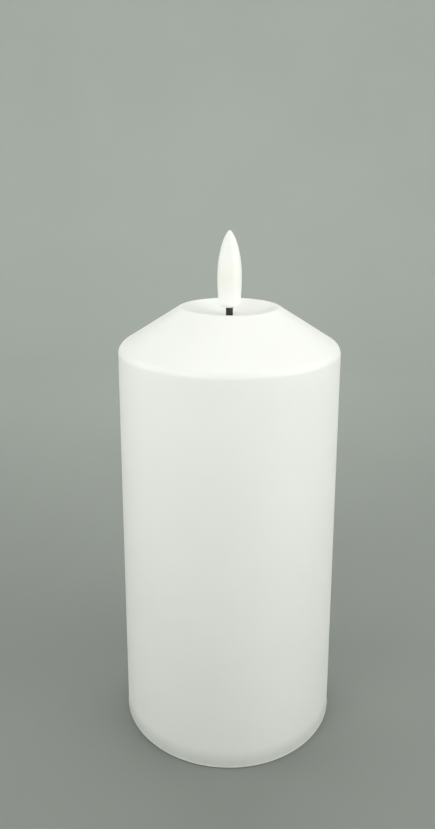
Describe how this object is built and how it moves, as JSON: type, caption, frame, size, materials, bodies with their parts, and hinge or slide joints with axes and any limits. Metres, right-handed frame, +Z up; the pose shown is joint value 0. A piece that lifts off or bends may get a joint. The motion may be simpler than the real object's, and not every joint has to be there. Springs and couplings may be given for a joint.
{
  "type": "flameless led candle",
  "caption": "Battery pillar candle with a straight round body, conical shoulder, dished top, black wick and frosted bullet flame, opened and switched from its underside.",
  "frame": {"origin": "middle of the ring-shaped face the candle stands on, on the body's axis", "axes": "+Z up along the body's axis to the flame's tip, -Y the side with the switch and the door's hinge, +X to the right seen from there"},
  "size_m": [0.075, 0.075, 0.1754],
  "materials": {
    "candle_body": "satin",
    "flame_frosted": "satin",
    "wick_black": "matte",
    "base_plastic": "satin",
    "board_white": "satin",
    "led_phosphor": "satin",
    "lead_red": "satin",
    "lead_black": "satin",
    "screw_steel": "satin",
    "cell_can": "satin",
    "cell_label": "gloss",
    "contact_nickel": "satin",
    "board_green": "satin",
    "component_black": "matte",
    "capacitor_sleeve": "gloss",
    "switch_phenolic": "matte",
    "knob_black": "satin",
    "wiper_brass": "polished"
  },
  "bodies": {
    "candle": {"candle_shell": "candle_body", "flame": "flame_frosted", "wick_sleeve": "wick_black", "wick_holder": "base_plastic", "led_board": "board_white", "led_chip": "led_phosphor", "led_lead_red": "lead_red", "led_lead_black": "lead_black", "base_housing": "base_plastic", "base_screws": "screw_steel", "aa_cell_front": "cell_can", "aa_cell_back": "cell_can", "negative_contact": "contact_nickel", "negative_spring": "contact_nickel", "positive_contact": "contact_nickel", "bridge_contact": "contact_nickel", "bridge_spring": "contact_nickel", "battery_lead_red": "lead_red", "battery_lead_black": "lead_black", "timer_board": "board_green", "board_screws": "screw_steel", "timer_chip": "component_black", "timer_crystal": "screw_steel", "board_capacitor": "capacitor_sleeve", "board_resistors": "component_black", "switch_can": "screw_steel", "switch_base": "switch_phenolic", "switch_terminals": "contact_nickel"},
    "door": {"battery_door": "base_plastic"},
    "latch": {"door_latch": "base_plastic"},
    "switch": {"switch_knob": "knob_black", "switch_wiper": "wiper_brass"}
  },
  "joints": [
    {"name": "switch_slide", "type": "slide", "parent": "candle", "child": "switch", "axis": [1, 0, 0], "range_m": [-0.002, 0.002]},
    {"name": "door_hinge", "type": "hinge", "parent": "candle", "child": "door", "pos_m": [0, -0.0184, 0.004], "axis": [-1, 0, 0], "range_deg": [0, 95]},
    {"name": "latch_flex", "type": "hinge", "parent": "door", "child": "latch", "pos_m": [0, 0.0184, 0.008], "axis": [-1, 0, 0], "range_deg": [0, 7], "stiffness_Nm_per_rad": 0.09}
  ]
}
